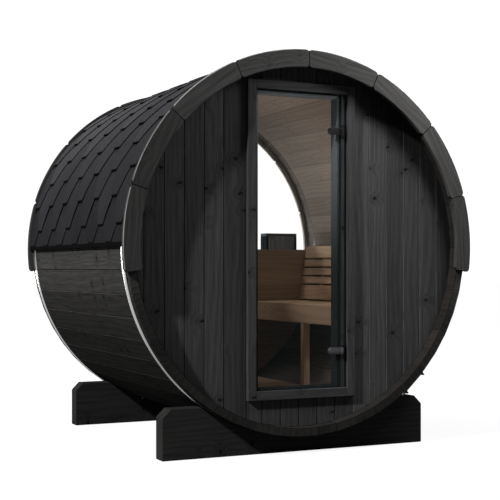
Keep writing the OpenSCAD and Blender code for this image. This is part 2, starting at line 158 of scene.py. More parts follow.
class Wire:
    """An output of a node, which Python arithmetic can be written with."""

    def __init__(self, tree, socket=None):
        self.tree = tree
        self.socket = socket

    def make(self, kind, settings=None, inputs=None, out=0):
        """Adds a node: its settings first, then the values or links of its inputs. Gives one output."""
        node = self.tree.nodes.new(kind)
        for name, value in (settings or {}).items():
            setattr(node, name, value)
        for name, value in (inputs or {}).items():
            if isinstance(value, Wire):
                self.tree.links.new(node.inputs[name], value.socket)
            else:
                node.inputs[name].default_value = value
        return Wire(self.tree, node.outputs[out] if len(node.outputs) else None)

    def math(self, operation, *values):
        """One Math node."""
        return self.make("ShaderNodeMath", {"operation": operation}, dict(enumerate(values)))

    def __add__(self, other):
        return self.math("ADD", self, other)

    def __sub__(self, other):
        return self.math("SUBTRACT", self, other)

    def __rsub__(self, other):
        return self.math("SUBTRACT", other, self)

    def __mul__(self, other):
        return self.math("MULTIPLY", self, other)

    def __pow__(self, other):
        return self.math("POWER", self, other)

    def __gt__(self, other):
        return self.math("GREATER_THAN", self, other)

    def __lt__(self, other):
        return self.math("LESS_THAN", self, other)

    __radd__ = __add__
    __rmul__ = __mul__

    def ramp(self, low, high):
        """A smooth step from 0 at low to 1 at high."""
        return self.make("ShaderNodeMapRange", {"interpolation_type": "SMOOTHSTEP"},
                         {"Value": self, "From Min": low, "From Max": high})

    def part(self, name):
        """One coordinate of a vector."""
        return self.make("ShaderNodeSeparateXYZ", None, {0: self}, name)

    def vector(self, x, y, z=0.0):
        """A vector from its coordinates."""
        return self.make("ShaderNodeCombineXYZ", None, {0: x, 1: y, 2: z})

    def place(self):
        """Where a point is on the object, in metres."""
        return self.make("ShaderNodeTexCoord", None, None, "Object")

    def tone(self):
        """The tone that each face of a piece carries."""
        return self.make("ShaderNodeAttribute", {"attribute_name": "tone"}, None, "Fac")

    def noise(self, place, scale, detail=2.0, roughness=0.5):
        """Cloudy noise from 0 to 1."""
        return self.make("ShaderNodeTexNoise", None,
                         {"Vector": place, "Scale": scale, "Detail": detail, "Roughness": roughness})

    def mix(self, factor, first, second, blend="MIX"):
        """A colour between two colours."""
        return self.make("ShaderNodeMix", {"data_type": "RGBA", "blend_type": blend},
                         {0: factor, 6: first, 7: second}, 2)

    def dim(self, body, shade):
        """A colour times a shade."""
        return self.mix(1.0, body, self.vector(shade, shade, shade), "MULTIPLY")

    def bump(self, strength, distance, height):
        """A normal that follows a height."""
        return self.make("ShaderNodeBump", None,
                         {"Strength": strength, "Distance": distance, "Height": height})

    def surface(self, inputs):
        """Ends a material in one Principled shader."""
        self.make("ShaderNodeOutputMaterial", None,
                  {"Surface": self.make("ShaderNodeBsdfPrincipled", None, inputs)})


def new_material(name):
    """An empty material and the wire that its nodes are made from."""
    material = bpy.data.materials.new(name)
    material.use_nodes = True
    material.node_tree.nodes.clear()
    return material, Wire(material.node_tree)


def rgb(value, factor=1.0):
    """A colour property as a colour with alpha, made lighter or darker."""
    return tuple(min(1.0, channel * factor) for channel in value) + (1.0,)


def board_pattern(wire):
    """Grain of a board from its own map, u along the board and v around it, in metres.

    Growth rings are a sine of v bent by slow noise along u, fibres are noise drawn out along u, and knots are
    the nearest points of a ragged cell pattern, of which three in five are kept.
    """
    place = wire.make("ShaderNodeUVMap", {"uv_map": "grain"})
    u, v = place.part(0), place.part(1)
    slow = wire.noise(wire.vector(u * 0.9, v * 6.0), 1.0, 2.0)
    ragged = wire.noise(wire.vector(u * 30.0, v * 70.0, 1.3), 1.0, 3.0, 0.6)
    cells = {"Vector": wire.vector(u * 6.0 + ragged * 0.2, v * 3.2 + ragged * 0.14),
             "Scale": 1.0, "Randomness": 1.0}
    flat = {"voronoi_dimensions": "2D", "feature": "F1"}
    away = wire.make("ShaderNodeTexVoronoi", flat, cells)
    kept = wire.make("ShaderNodeTexVoronoi", flat, cells, 1).part(0).ramp(0.38, 0.40)
    halo = (1.0 - away.ramp(0.05, 0.30)) * kept
    phase = v * 92.0 + slow * 13.0 + halo * 3.2
    return {
        "knot": (1.0 - away.ramp(0.025, 0.062)) * kept,
        "halo": halo,
        "rings": wire.math("SINE", phase * 2.0) * 0.5 + 0.5,
        "fibres": wire.noise(wire.vector(u * 5.0, v * 210.0), 1.0, 3.0, 0.6),
        "blotch": wire.noise(wire.vector(u * 1.6, v * 9.0, 3.7), 1.0, 3.0, 0.6),
        "tone": wire.tone(),
    }


def stained(wire, grain, tint, knots=1.0):
    """Black stain over the grain: fibres and rings show faintly, knots stay darker."""
    shade = grain["fibres"].ramp(0.25, 0.75) * 0.45 + grain["rings"] * 0.2 + grain["blotch"] * 0.35
    body = wire.dim(wire.mix(shade, rgb(tint, 0.45), rgb(tint, 1.62)), grain["tone"])
    body = wire.mix(grain["halo"] * 0.3 * knots, body, rgb(tint, 0.5))
    return wire.mix(grain["knot"] * 0.85 * knots, body, rgb(tint, 0.12))


def bare(wire, grain, tint):
    """Bare wood: darker late wood in the rings, fine fibres, brown knots."""
    shade = grain["rings"] * 0.4 + grain["fibres"] * 0.3 + grain["blotch"] * 0.3
    dark = tuple(channel * factor for channel, factor in zip(tint, (0.82, 0.75, 0.67)))
    body = wire.dim(wire.mix(shade, rgb(tint, 1.1), rgb(dark)), grain["tone"])
    body = wire.mix(grain["halo"] * 0.08, body, rgb(dark, 0.8))
    return wire.mix(grain["knot"] * 0.25, body, rgb(dark, 0.4))


def overhang_stain_lit_rear(wire, grain, tint, y, rear):
    """Thin stain inside the overhangs, made rear times lighter at the rear end, which is painted light from
    the bright sky behind.
    """
    thin = wire.mix(y > 0.0, rgb(tint), rgb(tint, rear))
    return wire.mix(1.0, stained(wire, grain, (1.0, 1.0, 1.0), 0.3), thin, "MULTIPLY")


def around_axis(wire, below=0.0):
    """Place across and along, the height over the axis or a point below it, and the distance from there."""
    place = wire.place()
    x, y, z = place.part(0), place.part(1), place.part(2)
    rise = z - (bpy.context.scene.sauna_sizes.axis_height - below)
    return x, y, rise, wire.math("SQRT", x * x + rise * rise)


def stave_split(wire, grain, body, colours):
    """Staves: bare inner faces between the end walls, thin stain beyond them, and darker below the axis,
    which is painted shade. The lining gets darker towards the floor and towards the rear, which is painted
    shade too; inside the rear overhang the stain is made lighter, which is painted light.
    """
    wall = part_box("rear_wall")
    inner_face = bpy.context.scene.sauna_sizes.stave_inner + 0.00448
    below, level, lowest, ceiling = -0.495, -0.095, -0.695, 0.955
    forward, rearward = -0.1, 0.78
    x, y, rise, radius = around_axis(wire)
    inner = radius < inner_face
    beyond = wire.math("ABSOLUTE", y) > (wall[0][1] + wall[1][1]) / 2
    # painted shade: the staves get darker from just below the axis downwards
    body = wire.dim(body, rise.ramp(below, level) * 0.45 + 0.6)
    # painted light: inside the rear overhang the stain is made nine times lighter
    body = wire.mix(inner * beyond, body, overhang_stain_lit_rear(wire, grain, colours.overhang, y, 9.0))
    # painted shade: the bare lining darkens towards the floor and towards the rear
    shade = (rise.ramp(lowest, ceiling) * 0.75 + 0.25) * (1.0 - y.ramp(forward, rearward) * 0.45)
    return wire.mix(inner * (1.0 - beyond), body, wire.dim(bare(wire, grain, colours.lining), shade))


def trim_split(wire, grain, body, colours):
    """Trim: on the rear lip where it faces inward, the thin stain made much lighter, a painted reflection of
    the bright sky behind.
    """
    lip = bpy.context.scene.sauna_sizes.trim_inner + 0.0219
    outer_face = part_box("rear_trim_right")[1][1] - 0.0023
    x, y, rise, radius = around_axis(wire)
    inward = (radius < lip) * (y > 0.0) * (y < outer_face)
    # painted reflection: the inward faces of the rear lip are made 28 times lighter
    return wire.mix(inward, body, overhang_stain_lit_rear(wire, grain, colours.overhang, y, 28.0))


def rear_split(wire, grain, body, colours):
    """Rear wall: bare on its face toward the cabin and on most of its thickness."""
    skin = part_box("rear_wall")[1][1] - 0.013
    return wire.mix(wire.place().part(1) < skin, body, bare(wire, grain, colours.rear))


def front_split(wire, grain, body, colours):
    """Front wall: bare toward the cabin, and outside darker near the trim at the right, which is a painted
    shadow of the trim. The painted shade grows with the distance from a point below the axis, and from the
    door to the right.
    """
    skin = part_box("front_wall_left")[0][1] + 0.013
    below, near, rim, door, right = 0.125, 0.86, 0.97, 0.2, 0.45
    x, y, rise, away = around_axis(wire, below)
    # painted shadow: the wall darkens near the trim at its upper right
    body = wire.dim(body, 1.0 - away.ramp(near, rim) * x.ramp(door, right) * 0.65)
    return wire.mix(y > skin, body, bare(wire, grain, colours.rear))


def wood(name, tint, split=None, knots=1.0):
    """Wood that is stained all over, or bare all over where split is bare.

    Any other split is the function that adds bare or worn faces to the stain.
    """
    material, wire = new_material(name)
    grain = board_pattern(wire)
    body = bare(wire, grain, tint) if split is bare else stained(wire, grain, tint, knots)
    if split not in (None, bare):
        body = split(wire, grain, body, bpy.context.scene.sauna_colours)
    relief = grain["fibres"] * 0.5 + grain["rings"] * 0.3 - grain["knot"] * 0.5
    wire.surface({"Base Color": body, "Roughness": grain["fibres"] * 0.22 + 0.5,
                  "Normal": wire.bump(0.35, 0.0012, relief), "Specular IOR Level": 0.0})
    return material


def shingle_felt(name, tint):
    """Mineral granules on felt: fine speckle, slow patches and one tone for each tab."""
    material, wire = new_material(name)
    place = wire.place()
    speckle = wire.make("ShaderNodeTexVoronoi", {"feature": "F1"},
                        {"Vector": place, "Scale": 420.0}, 1).part(0)
    coarse = wire.noise(place, 120.0, 2.0, 0.7)
    patch = wire.noise(place, 5.0, 3.0)
    shade = speckle * 0.45 + coarse * 0.3 + patch * 0.25
    body = wire.dim(wire.mix(shade, rgb(tint, 0.45), rgb(tint, 1.6)), wire.tone())
    wire.surface({"Base Color": body, "Roughness": 0.85 + speckle * 0.1,
                  "Normal": wire.bump(0.6, 0.0012, speckle * 0.6 + coarse * 0.6), "Specular IOR Level": 0.0})
    return material


def brushed_steel(name, tint):
    """Steel strip: fine scratches along the strip and faint smudges, darker near the ground and under the
    eave, which is painted shade.
    """
    material, wire = new_material(name)
    place = wire.place()
    x, y, z = place.part(0), place.part(1), place.part(2)
    rise = z - bpy.context.scene.sauna_sizes.axis_height
    ground, above = -0.995, 0.085
    under_eave, eave = -0.125, -0.005
    scratches = wire.noise(wire.vector(x * 14.0, y * 900.0, z * 14.0), 1.0, 2.0, 0.6)
    smudge = wire.noise(place, 9.0, 3.0)
    body = wire.mix(scratches * 0.5 + smudge * 0.5, rgb(tint, 0.82), rgb(tint, 1.12))
    # painted shade: the steel darkens near the ground and in the eave's shadow
    body = wire.dim(body, rise.ramp(ground, above) * (1.0 - rise.ramp(under_eave, eave) * 0.65))
    wire.surface({"Base Color": body, "Metallic": 1.0, "Roughness": 0.24 + smudge * 0.2,
                  "Normal": wire.bump(0.15, 0.0002, scratches)})
    return material


def coated(name, tint, rough, shine, heights=None):
    """Coating: a fine pebbled skin with slight changes of sheen, darker towards the lower of two heights,
    which is painted shade.
    """
    material, wire = new_material(name)
    place = wire.place()
    pebble, patch = wire.noise(place, 900.0, 2.0), wire.noise(place, 30.0, 2.0)
    body = wire.mix(patch, rgb(tint, 0.75), rgb(tint, 1.3))
    if heights:
        body = wire.mix(place.part(2).ramp(*heights), rgb(tint, 0.12), body)
    wire.surface({"Base Color": body, "Roughness": rough + patch * 0.15,
                  "Normal": wire.bump(0.2, 0.0003, pebble), "Specular IOR Level": shine})
    return material


def hinge_coating(name, tint):
    """Black coating on the two hinge arms, with a painted highlight that grows towards the top of each arm.
    """
    material, wire = new_material(name)
    place = wire.place()
    low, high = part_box("hinge_arms")
    half = 0.019
    upper = place.part(2) > (low[2] + high[2]) / 2
    rise = place.part(2) - (low[2] + half) - upper * (high[2] - low[2] - 2 * half)
    painted_highlight = rise.ramp(-0.4 * half, half) * (wire.noise(place, 60.0, 2.0) * 0.6 + 0.7)
    wire.surface({"Base Color": wire.mix(painted_highlight, rgb(tint, 0.4), rgb(tint, 6.0)),
                  "Roughness": 0.45 - painted_highlight * 0.1, "Specular IOR Level": 0.1})
    return material


def sheet_glass(name, tint, edge, clear):
    """Clear glass: nearly see-through from the front, less so at a grazing view, dark at its edges."""
    material, wire = new_material(name)
    facing = wire.make("ShaderNodeLayerWeight", None, {"Blend": 0.5}, "Facing")
    tone = wire.tone()
    sheet = clear + facing ** 4.0 * 0.6
    wire.surface({"Base Color": wire.mix(tone, rgb(edge), rgb(tint)),
                  "Roughness": 0.02 + wire.noise(wire.place(), 3.0, 2.0) * 0.03, "Specular IOR Level": 0.3,
                  "Alpha": sheet * tone + (1.0 - tone) * 0.8})
    return material


FINISHES = {}


def finish(name):
    """The material of a finish, made the first time that it is asked for."""
    colours = bpy.context.scene.sauna_colours
    makers = {
        "stave_wood": (wood, colours.stain, stave_split),
        "wall_wood": (wood, colours.wall_stain, front_split),
        "rear_wood": (wood, colours.wall_stain, rear_split),
        "frame_wood": (wood, colours.frame_stain),
        "trim_wood": (wood, colours.trim_stain, trim_split, 0.3),
        "cradle_wood": (wood, colours.cradle),
        "cabin_wood": (wood, colours.cabin, bare),
        "floor_wood": (wood, colours.floor, bare),
        "box_wood": (wood, colours.box),
        "shingles": (shingle_felt, colours.shingle),
        "band_steel": (brushed_steel, colours.steel),
        "black_coating": (coated, colours.coating, 0.3, 0.13),
        "hinge_coating": (hinge_coating, colours.coating),
        "eave_black": (coated, colours.eave, 0.8, 0.0),
        # painted shade: the seal on the stops darkens towards the bottom
        "seal_grey": (coated, colours.seal, 0.6, 0.0, (0.9, 1.75)),
        # painted light: the seal made 3.2 times lighter for the top stop
        "seal_pale": (coated, rgb(colours.seal, 3.2)[:3], 0.6, 0.0),
        # black coating on the hinge brackets, and painted shade on the gap strips
        "seal_black": (coated, colours.coating, 0.6, 0.0),
        "door_glass": (sheet_glass, colours.glass, colours.glass_edge, 0.03),
        "window_glass": (sheet_glass, colours.glass, colours.glass_edge, 0.012),
    }
    if name not in FINISHES:
        maker, *details = makers[name]
        FINISHES[name] = maker(name, *details)
    return FINISHES[name]


# Points, faces, the map of each face's corners and the tone of each face
Board = namedtuple("Board", "points faces marks tone")


def outline(left, right, front, back, front_round, back_round=None, between=0):
    """Outline of a board across its length, as rows of (across, depth).

    The front runs from left to right and the back returns, each with quarter-round corners: the corner's
    middle minus the radius times cosine and sine. Points between the corners are evenly spaced.
    """
    back_round = front_round if back_round is None else back_round
    turn = np.linspace(0.0, math.pi / 2, 4)
    inner = np.linspace(0.0, 1.0, between + 2)[1:-1]

    def face(radius):
        """From corner to corner: places across, and how far the rounding takes each back from the face."""
        across = np.concatenate([left + radius - radius * np.cos(turn),
                                 left + radius + (right - left - 2 * radius) * inner,
                                 right - radius + radius * np.cos(turn[::-1])])
        lift = np.concatenate([radius - radius * np.sin(turn), inner * 0,
                               radius - radius * np.sin(turn[::-1])])
        return across, lift

    fore, fore_lift = face(front_round)
    rear, rear_lift = face(back_round)
    return np.vstack([np.stack([fore, front + fore_lift], -1),
                      np.stack([rear, back - rear_lift], -1)[::-1]])


def plank(shape, low, high, place, edge=SAWN, rings=2, seam=1.0, tone=1.0):
    """One board: an outline carried along its length.

    Each point of the outline runs from low to high, which may be functions of the place across the board,
    so that an end can follow a curve. The outline is drawn in by edge at both ends. place turns across, depth
    and along into x, y and z. The map is u along and v around. The faces are one strip around the board for
    each ring and one more, then the two ends. Their tone is seam on the first and last strip, the sides and
    the deeper part of each corner, and one elsewhere, all times tone.
    """
    across, depth = shape[:, 0], shape[:, 1]
    start = low(across) if callable(low) else np.full_like(across, low)
    stop = high(across) if callable(high) else np.full_like(across, high)
    steps = np.linspace(0.0, 1.0, rings)[:, None]
    along = np.vstack([start, start + edge + steps * (stop - start - 2 * edge), stop])
    tight = [np.clip(line, line.min() + edge, line.max() - edge) for line in (across, depth)]
    wide = [np.repeat(line[None], rings, 0) for line in (across, depth)]
    a, d = (np.vstack([close, line, close]) for close, line in zip(tight, wide))
    points = place(a, d, along).reshape(-1, 3)
    count, half = len(across), len(across) // 2
    index = np.arange(along.size).reshape(along.shape)
    after = np.roll(index, -1, axis=1)
    sides = np.stack([index[:-1], after[:-1], after[1:], index[1:]], -1).reshape(-1, 4)
    i = np.arange(half - 1)
    cap = np.stack([i, i + 1, count - 2 - i, count - 1 - i], -1)
    faces = np.vstack([sides, cap[:, ::-1], index[-1, 0] + cap])
    girth = np.concatenate([[0.0], np.cumsum(np.hypot(*np.diff(shape, axis=0, append=shape[:1]).T))])
    near, far = (np.broadcast_to(line, along[1:].shape) for line in (girth[:-1], girth[1:]))
    ahead = np.roll(along, -1, axis=1)
    u = np.stack([along[:-1], ahead[:-1], ahead[1:], along[1:]], -1)
    v = np.stack([near, far, far, near], -1)
    ends = np.stack([depth, across], -1)
    marks = np.vstack([np.stack([u, v], -1).reshape(-1, 4, 2), ends[cap[:, ::-1]], ends[cap]])
    tones = np.full(along[1:].shape, seam)
    tones[1:-1, 2:half - 3] = tones[1:-1, half + 2:count - 3] = 1.0
    tones = np.concatenate([tones.ravel(), np.ones(2 * len(cap))]) * tone
    corners = points[faces] - points.mean(0)
    a, b, c, d = (corners[:, k] for k in range(4))
    if np.einsum("ij,ij", a, np.cross(b, c) + np.cross(c, d)) < 0:
        faces, marks = faces[:, ::-1], marks[:, ::-1]
    return Board(points, faces, marks, tones)


def along_x(a, d, l):
    """Across is up, depth is to the rear, the length runs along X."""
    return np.stack([l, d, a], -1)


def along_y(a, d, l):
    """Across is to the right, depth is up, the length runs along Y."""
    return np.stack([a, l, d], -1)


def along_z(a, d, l):
    """Across is to the right, depth is to the rear, the length runs upwards."""
    return np.stack([a, d, l], -1)


def box_plank(node, place, edge, seam=1.0, tone=1.0):
    """A board that fills a CAD node's box, with its length along the way that place names."""
    low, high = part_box(node)
    a, d, l = {along_x: (2, 1, 0), along_y: (0, 2, 1), along_z: (0, 1, 2)}[place]
    return plank(outline(low[a], high[a], low[d], high[d], edge), low[l], high[l], place, edge, 2, seam, tone)


def half_chord(radius, away):
    """Half a circle's chord at a distance from its middle: the root of radius squared less away squared."""
    return np.sqrt(np.maximum(radius ** 2 - away ** 2, 0.0))


def lining(sizes):
    """The lining's circle: half its width at a height, its ground and its ceiling at a place across."""
    axis = sizes.axis_height
    return (lambda z: half_chord(sizes.lining, z - axis), lambda x: axis - half_chord(sizes.lining, x),
            lambda x: axis + half_chord(sizes.lining, x))


def grid(rows, columns, flip):
    """The faces of a grid of points, turned over where flip is true."""
    index = np.arange(rows * columns).reshape(rows, columns)
    faces = np.stack([index[:-1, :-1], index[:-1, 1:], index[1:, 1:], index[1:, :-1]], -1).reshape(-1, 4)
    return faces[:, ::-1] if flip else faces


def piece(name, boards, material, nodes=(), body="cabin", smooth=0.0, spread=0.18):
    """Joins boards into one object that rides on a body and stands for CAD nodes.

    Every board gets its own shift of the grain map and its own tone, from a generator seeded by the name.
    smooth is the largest angle between two faces that are shaded as one curve.
    """
    chance = np.random.default_rng(sum(ord(letter) * (place + 1) for place, letter in enumerate(name)))
    starts = np.cumsum([0] + [len(board.points) for board in boards])
    points = np.vstack([board.points for board in boards])
    faces = np.vstack([board.faces + start for board, start in zip(boards, starts)])
    marks = np.vstack([board.marks + chance.uniform(0.0, 40.0, 2) for board in boards])
    tones = np.concatenate([board.tone * (1.0 + spread * chance.uniform(-1.0, 1.0)) for board in boards])
    mesh = bpy.data.meshes.new(name)
    mesh.from_pydata(points.tolist(), [], faces.tolist())
    mesh.uv_layers.new(name="grain").data.foreach_set("uv", marks.astype(np.float32).ravel())
    mesh.attributes.new("tone", "FLOAT", "FACE").data.foreach_set("value", tones.astype(np.float32))
    mesh.polygons.foreach_set("use_smooth", np.full(len(faces), smooth > 0.0))
    if smooth > 0.0:
        mesh.set_sharp_from_angle(angle=smooth)
    mesh.update()
    mesh.materials.append(finish(material))
    made = bpy.data.objects.new(name, mesh)
    bpy.context.scene.collection.objects.link(made)
    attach(made, body)
    if nodes:
        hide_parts(*nodes)


def coat_node(node, material):
    """Gives a CAD node that stays in view its finish."""
    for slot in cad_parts[node].material_slots:
        slot.material = finish(material)


class SAUNA_OT_staves(bpy.types.Operator):
    """Staves: each a flat board with bevelled sides, turned about the axis by a whole number of steps"""
    bl_idname = "sauna.staves"
    bl_label = "Staves"

    def execute(self, context):
        sizes = context.scene.sauna_sizes
        groove_tone, end_tone, painted_highlight_tone, lit_below = 0.4, 0.85, 2.0, -0.22
        step = 2 * math.pi / sizes.stave_count
        slope = math.tan(step / 2)
        half = sizes.stave_outer * slope - CLEAR / 2
        shape = outline(-half, half, sizes.stave_inner, sizes.stave_outer, SAWN, sizes.groove)
        shape[:, 0] *= (shape[:, 1] * slope - CLEAR / 2) / half
        count = len(shape)
        per_panel = sizes.stave_count // len(PANELS)
        (_, front, _), (_, back, _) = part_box("staves_top")
        for panel, name in enumerate(PANELS):
            boards = []
            for i in range(per_panel):
                turn = ((panel - 3) * per_panel + i + 0.5) * step
                out, side = math.cos(turn), math.sin(turn)

                def place(a, d, l, out=out, side=side):
                    """Depth runs out from the axis at the stave's angle, and across is square to it."""
                    return np.stack([d * out - a * side, l, sizes.axis_height + d * side + a * out], -1)

                board = plank(shape, front, back, place, SAWN, 2, groove_tone)
                board.tone[3 * count:] *= end_tone
                # painted highlight: on staves below the axis, two faces of one arris are made twice as light
                if side < lit_below:
                    upper = count + (count - 3 if out < 0 else count // 2)
                    board.tone[upper:upper + 2] = painted_highlight_tone
                boards.append(board)
            piece("staves_" + name + "_boards", boards, "stave_wood", ["staves_" + name])
        return {"FINISHED"}


class SAUNA_OT_end_walls(bpy.types.Operator):
    """End walls: upright boards in front and level boards behind, their ends cut to the lining's circle"""
    bl_idname = "sauna.end_walls"
    bl_label = "End walls"

    def execute(self, context):
        sizes = context.scene.sauna_sizes
        wide, ground, ceiling = lining(sizes)
        sliver, rim, first_row, rear_groove = 0.025, 0.9, 0.05, 0.0018
        groove_tone, rear_painted_shade, painted_highlight_tone, first_tone = 0.2, 0.4, 13.0, 1.55
        (left, front, _), (_, back, _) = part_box("front_wall_left")
        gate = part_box("front_wall_right")[0][0]
        over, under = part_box("front_wall_over_door")[0][2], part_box("front_wall_under_door")[1][2]
        seams = sizes.wall_start + sizes.wall_board * np.arange(-4, 13)

        def between(low, high):
            """The edges of the boards from low to high, without slivers at the ends."""
            return np.concatenate([[low], seams[(seams > low + sliver) & (seams < high - sliver)], [high]])

        def boards(edges, low, high, lit=1.0):
            """Boards between the edges. lit is the tone of the left edge of each groove; above one it is a
            painted highlight.
            """
            made = []
            for a, b in zip(edges[:-1], edges[1:]):
                columns = 26 if max(abs(a), abs(b)) > rim else 10
                shape = outline(a, b, front, back, sizes.groove, SAWN, columns)
                made.append(plank(shape, low, high, along_z, FINE, 2, groove_tone))
                made[-1].tone[len(shape):len(shape) + 2] *= lit
            return made

        middle = between(-gate + 2 * CLEAR, gate - 2 * CLEAR)
        # painted highlight: on the right wall the left edge of each groove is thirteen times lighter
        right = boards(between(gate, -left), ground, ceiling, painted_highlight_tone)
        # partly the board's own lighter tone, partly painted light over the casing's shadow
        right[0].tone[:] *= first_tone
        for node, made in (("front_wall_left", boards(between(left, -gate), ground, ceiling)),
                           ("front_wall_right", right),
                           ("front_wall_over_door", boards(middle, over, ceiling)),
                           ("front_wall_under_door", boards(middle, ground, under))):
            piece(node + "_boards", made, "wall_wood", [node])

        def level(shape, tone=1.0):
            """A level board from one side of the lining to the other."""
            return plank(shape, lambda z: -wide(z), wide, along_x, FINE, 2, tone)

        (_, front, foot), (_, back, top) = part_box("rear_wall")
        edges = np.linspace(foot, top, sizes.rear_boards + 1)
        rows = []
        for a, b in zip(edges[:-1], edges[1:]):
            columns = 26 if a < foot + first_row else 8
            # painted shade: the rear wall's boards are darkened as a whole
            rows.append(level(outline(a, b, front, back, rear_groove, sizes.groove, columns), rear_painted_shade))
        piece("rear_wall_boards", rows, "rear_wood", ["rear_wall"])
        low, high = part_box("rear_window_rail")
        rail = level(outline(low[2], high[2], low[1], high[1], sizes.edge, None, 3))
        piece("rear_window_rail_board", [rail], "rear_wood", ["rear_window_rail"])
        return {"FINISHED"}


class SAUNA_OT_door_frame(bpy.types.Operator):
    """Door frame: planed posts, head and threshold, the stops behind the glass and the hinge post"""
    bl_idname = "sauna.door_frame"
    bl_label = "Door frame"

    def execute(self, context):
        sizes = context.scene.sauna_sizes

        def planed(node, place, tone):
            """A planed board in place of one CAD node."""
            board = box_plank(node, place, sizes.edge, 1.0, tone)
            piece(node + "_board", [board], "frame_wood", [node])

        planed("door_post_left", along_z, 1.0)
        planed("door_post_right", along_z, 1.0)
        low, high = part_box("hinge_post")
        # painted shade: the outer part of the hinge post is black, standing for a gap in shade
        gap_shade_share = 0.4
        gap = high[0] - gap_shade_share * (high[0] - low[0])
        for name, a, b, material, nodes in (("hinge_post_board", low[0], gap, "frame_wood", ["hinge_post"]),
                                            ("hinge_post_seal", gap, high[0], "seal_black", ())):
            shape = outline(a, b, low[1], high[1], KEEN)
            piece(name, [plank(shape, low[2], high[2], along_z, KEEN)], material, nodes)
        planed("door_head", along_x, 1.1)
        planed("door_threshold", along_x, 1.3)
        low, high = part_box("door_stops")
        glass_low, glass_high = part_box("door_glass")
        lap, keen = sizes.glass_lap, KEEN / 2
        inner = glass_low[0] + lap, glass_high[0] - lap
        # painted shadow: beyond these places the stops are black, for the shadow under the head and beside
        # the glass
        side_shade_start, top_shade_start = glass_high[0] - 0.002, high[2] - 0.007
        uprights = [plank(outline(a, b, low[1], high[1], keen), low[2], high[2], along_z, KEEN)
                    for a, b in ((low[0], inner[0]), (inner[1], side_shade_start), (side_shade_start, high[0]))]
        levels = [plank(outline(a, b, low[1], high[1], keen),
                        inner[0] + CLEAR, inner[1] - CLEAR, along_x, KEEN)
                  for a, b in ((low[2], glass_low[2] + lap / 2), (glass_high[2] - lap, top_shade_start),
                               (top_shade_start, high[2]))]
        piece("door_stop_boards", uprights[:2] + levels[:1], "seal_grey", ["door_stops"])
        piece("door_stop_edges", [uprights[2], levels[2]], "seal_black")
        # painted light: the top stop, which lies in the head's shadow, gets a lighter copy of the seal
        piece("door_top_seal", [levels[1]], "seal_pale")
        coat_node("hinge_brackets", "seal_black")
        return {"FINISHED"}


class SAUNA_OT_door_leaf(bpy.types.Operator):
    """Door leaf: a sheet of glass with polished edges, and the hinge arms that grip it"""
    bl_idname = "sauna.door_leaf"
    bl_label = "Door leaf"

    def execute(self, context):
        leaf = box_plank("door_glass", along_z, 2 * FINE, 0.0)
        piece("door_leaf_glass", [leaf], "door_glass", ["door_glass"], "door", spread=0.0)
        coat_node("hinge_arms", "hinge_coating")
        return {"FINISHED"}


class SAUNA_OT_rear_window(bpy.types.Operator):
    """Rear window: a half-moon sheet, from the sill up to the lining's circle"""
    bl_idname = "sauna.rear_window"
    bl_label = "Rear window"

    def execute(self, context):
        low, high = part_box("rear_window_glass")
        ceiling = lining(context.scene.sauna_sizes)[2]
        shape = outline(low[0], high[0], low[1], high[1], KEEN, None, 118)
        width = high[0] - low[0]
        shape[:, 0] = low[0] + width * (0.5 - 0.5 * np.cos(math.pi * (shape[:, 0] - low[0]) / width))
        sheet = plank(shape, low[2], lambda x: np.maximum(ceiling(x), low[2] + 3 * KEEN), along_z, KEEN,
                      seam=0.0)
        piece("rear_window_sheet", [sheet], "window_glass", ["rear_window_glass"], spread=0.0)
        return {"FINISHED"}


class SAUNA_OT_rear_box(bpy.types.Operator):
    """Rear box: upright boards on all four sides under a lid, closed below"""
    bl_idname = "sauna.rear_box"
    bl_label = "Rear box"

    def execute(self, context):
        sizes = context.scene.sauna_sizes
        low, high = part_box("rear_box")
        # painted light and shade: the front and back boards are lighter, the side boards darker
        wall, painted_light_tone, painted_shade_tone = sizes.box_board, 3.2, 0.2
        top, foot = high[2] - sizes.box_lid, low[2] + wall
        edges = np.linspace(low[0] + wall, high[0] - wall, 4)
        boards = []

        def upright(left, right, front, back, tone):
            """A board from the bottom to the lid."""
            boards.append(plank(outline(left, right, front, back, SAWN), foot, top, along_z, KEEN, tone=tone))

        for front in (low[1], high[1] - wall):
            for left, right in zip(edges[:-1], edges[1:]):
                upright(left, right, front, front + wall, painted_light_tone)
        for left in (low[0], high[0] - wall):
            upright(left, left + wall, low[1], high[1], painted_shade_tone)
        for a, b in ((low[2], foot), (top, high[2])):
            shape = outline(a, b, low[1], high[1], sizes.edge)
            boards.append(plank(shape, low[0], high[0], along_x, 2 * KEEN))
        piece("rear_box_boards", boards, "box_wood", ["rear_box"])
        return {"FINISHED"}


